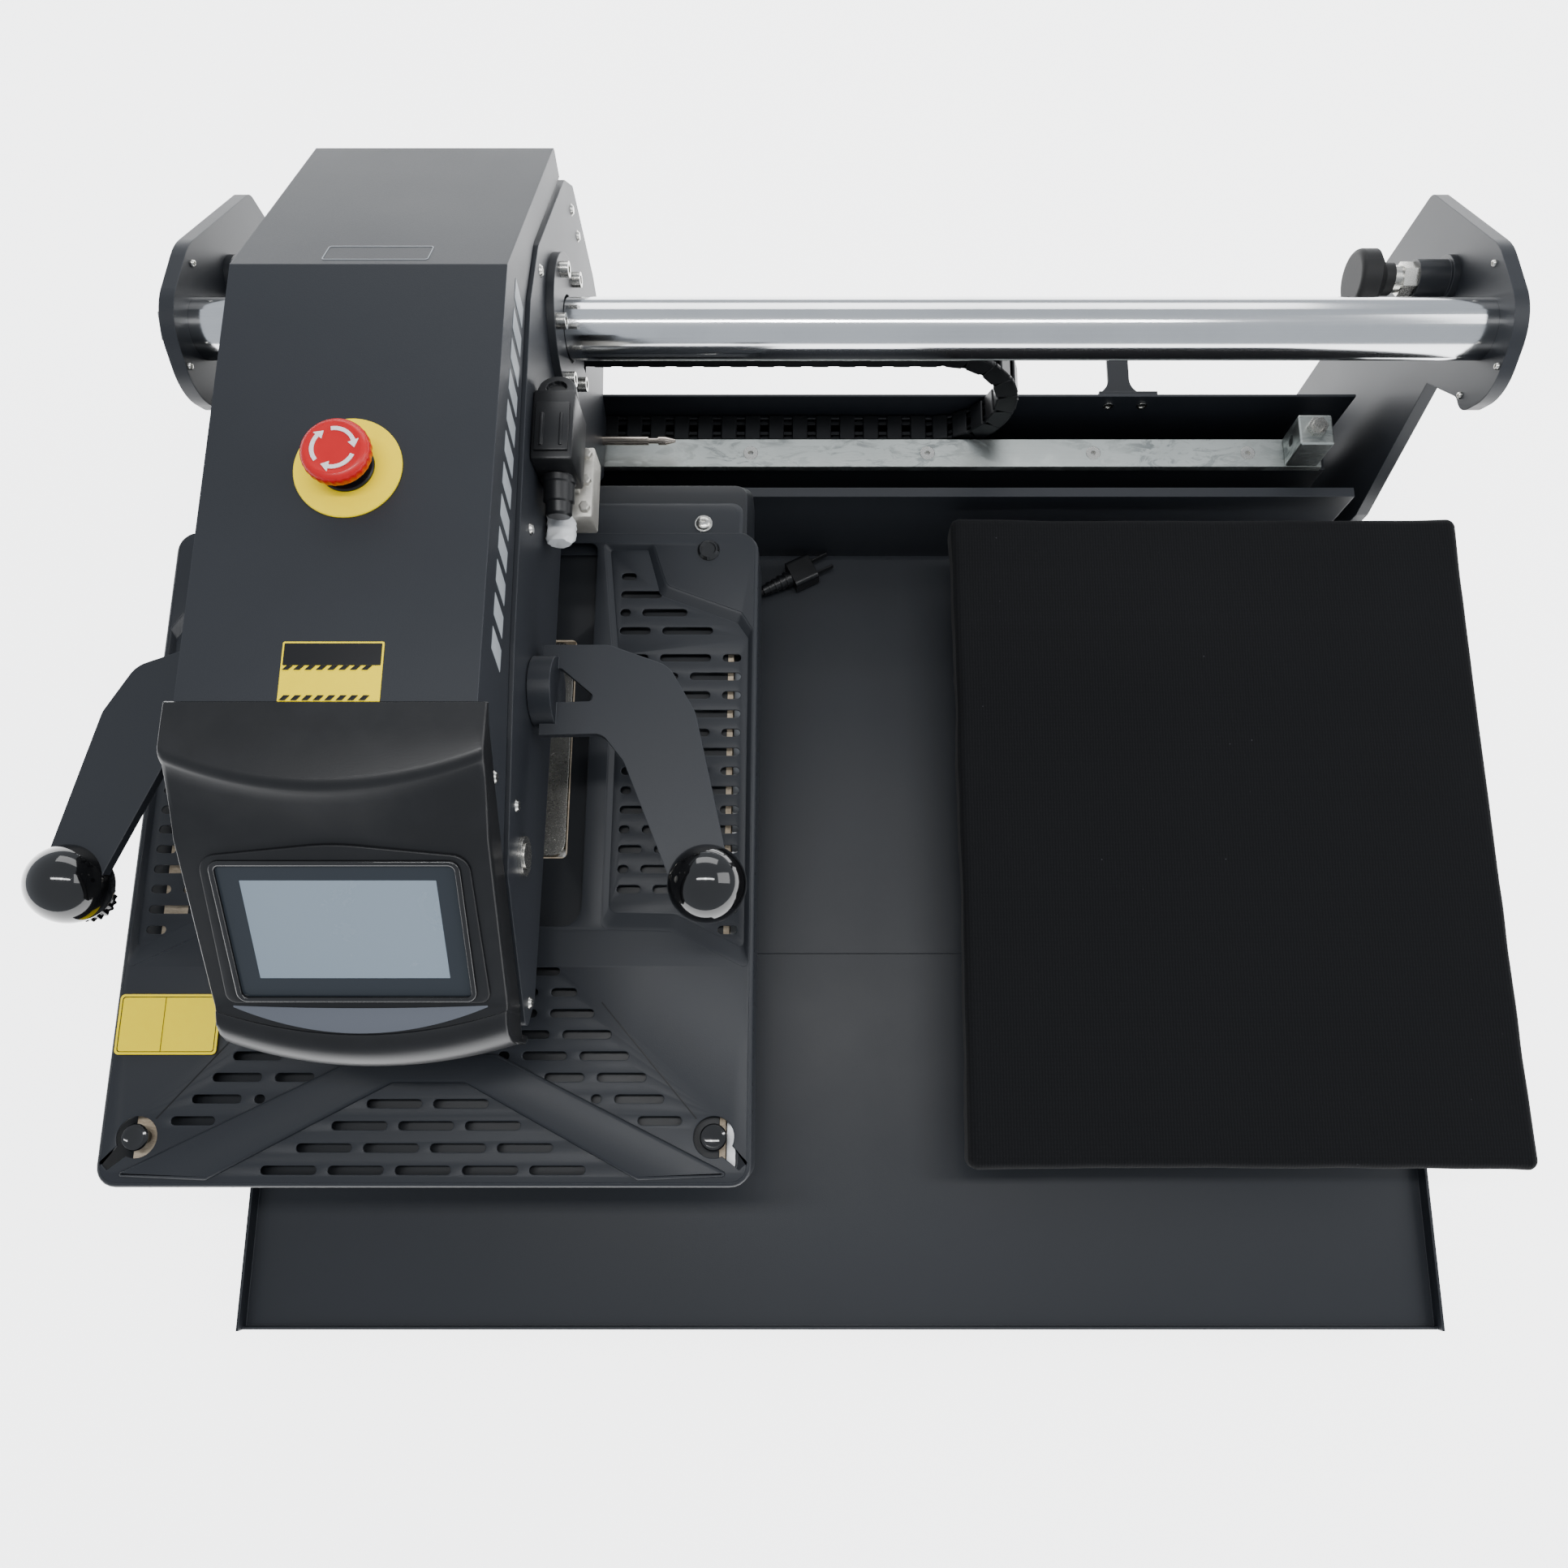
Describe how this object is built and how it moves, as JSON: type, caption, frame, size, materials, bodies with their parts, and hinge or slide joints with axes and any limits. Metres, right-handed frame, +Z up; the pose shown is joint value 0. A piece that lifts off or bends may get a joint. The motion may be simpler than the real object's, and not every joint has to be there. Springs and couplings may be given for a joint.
{
  "type": "heat press",
  "caption": "Dual-station flat heat press: a sliding head on a chrome shaft lowers a vented heat platen onto either of two cloth-covered lower platens.",
  "frame": {"origin": "centre of the footprint, on the surface the rubber feet stand on", "axes": "+X along the chrome shaft to the right station, +Y to the back, +Z up"},
  "size_m": [1.0092, 0.835, 0.448],
  "materials": {
    "charcoal_coat": "satin powder coat",
    "black_coat": "satin powder coat",
    "chrome_shaft": "hard chrome",
    "zinc_bar": "stained zinc plate",
    "bright_fastener": "zinc plated",
    "pin_steel": "polished",
    "black_plastic": "satin moulded",
    "gloss_black": "polished",
    "black_rubber": "matt",
    "knit_cloth": "black stretch knit",
    "silicone_pad": "foam silicone",
    "platen_aluminium": "machined",
    "insulation_wool": "fibre blanket",
    "screen_glass": "glossy display",
    "stop_red": "moulded",
    "stop_yellow": "printed"
  },
  "bodies": {
    "base": {"base_frame": "black_coat", "rubber_feet": "black_rubber", "front_tray": "charcoal_coat", "rear_tray": "charcoal_coat", "cable_trough": "charcoal_coat", "guide_shaft": "chrome_shaft", "base_screws": "bright_fastener", "rail_support": "black_coat", "guide_bar": "zinc_bar", "detent_housings": "bright_fastener", "bumper_bosses": "black_coat", "bumper_studs": "bright_fastener", "bumper_pads": "black_rubber", "rear_bracket": "black_coat", "pedestals": "black_coat", "lower_platens": "platen_aluminium", "platen_pads": "silicone_pad", "stop_blocks": "zinc_bar", "end_plate_left": "charcoal_coat", "end_plate_right": "charcoal_coat", "platen_cover_left": "knit_cloth", "platen_cover_right": "knit_cloth", "chain_lower_run": "black_plastic", "cord_gland": "black_plastic", "power_cord": "black_rubber", "cord_coil": "black_rubber", "power_plug": "black_plastic"},
    "detent_left": {"detent_plunger_left": "bright_fastener"},
    "detent_right": {"detent_plunger_right": "bright_fastener"},
    "chain_loop": {"chain_bend": "black_plastic"},
    "head": {"head_plate_left": "charcoal_coat", "head_plate_right": "charcoal_coat", "head_cover": "charcoal_coat", "head_screws": "bright_fastener", "bearing_housings": "black_coat", "linear_bushings": "bright_fastener", "carriage_bracket": "black_coat", "glide_pads": "black_plastic", "locating_pin": "pin_steel", "console_housing": "black_plastic", "lcd_panel": "screen_glass", "side_connectors": "black_plastic", "side_box": "black_plastic", "ram_guide": "platen_aluminium", "electromagnet": "black_coat", "button_ring": "bright_fastener", "estop_collar": "stop_yellow", "chain_upper_run": "black_plastic"},
    "platen": {"heater_block": "platen_aluminium", "insulation": "insulation_wool", "heat_cover": "charcoal_coat", "heat_cover_fasteners": "gloss_black", "press_ram": "bright_fastener", "guide_columns": "chrome_shaft"},
    "lever": {"lever_shaft": "bright_fastener", "handle_arms": "charcoal_coat", "ball_knobs": "gloss_black"},
    "power_switch": {"power_button": "bright_fastener"},
    "stop_stem": {"estop_stem": "black_plastic"},
    "stop_cap": {"estop_button": "stop_red"}
  },
  "joints": [
    {"name": "head_slide", "type": "slide", "parent": "base", "child": "head", "axis": [1, 0, 0], "range_m": [-0.01, 0.562], "deforming": ["chain_upper_run", "chain_lower_run"]},
    {"name": "chain_roll", "type": "slide", "parent": "base", "child": "chain_loop", "axis": [1, 0, 0], "range_m": [-0.005, 0.281]},
    {"name": "platen_press", "type": "slide", "parent": "head", "child": "platen", "axis": [0, 0, -1], "range_m": [0, 0.0315], "stiffness_N_per_m": 1500, "springref_m": -0.2},
    {"name": "handle_pull", "type": "hinge", "parent": "head", "child": "lever", "pos_m": [-0.276, 0.0065, 0.324], "axis": [1, 0, 0], "range_deg": [0, 45]},
    {"name": "power_press", "type": "slide", "parent": "head", "child": "power_switch", "axis": [-1, 0, 0], "range_m": [0, 0.002], "stiffness_N_per_m": 600},
    {"name": "stop_press", "type": "slide", "parent": "head", "child": "stop_stem", "axis": [0, 0, -1], "range_m": [0, 0.004]},
    {"name": "stop_twist", "type": "hinge", "parent": "stop_stem", "child": "stop_cap", "pos_m": [-0.276, 0.0985, 0.437], "axis": [0, 0, -1], "range_deg": [0, 30], "stiffness_Nm_per_rad": 0.02},
    {"name": "detent_left_lift", "type": "slide", "parent": "base", "child": "detent_left", "axis": [0, 0, 1], "range_m": [0, 0.002], "stiffness_N_per_m": 1500},
    {"name": "detent_right_lift", "type": "slide", "parent": "base", "child": "detent_right", "axis": [0, 0, 1], "range_m": [0, 0.002], "stiffness_N_per_m": 1500}
  ],
  "couplings": [
    {"joint": "chain_roll", "follows": "head_slide", "ratio": 0.5},
    {"joint": "handle_pull", "follows": "platen_press", "rad_per_m": 24.9}
  ]
}
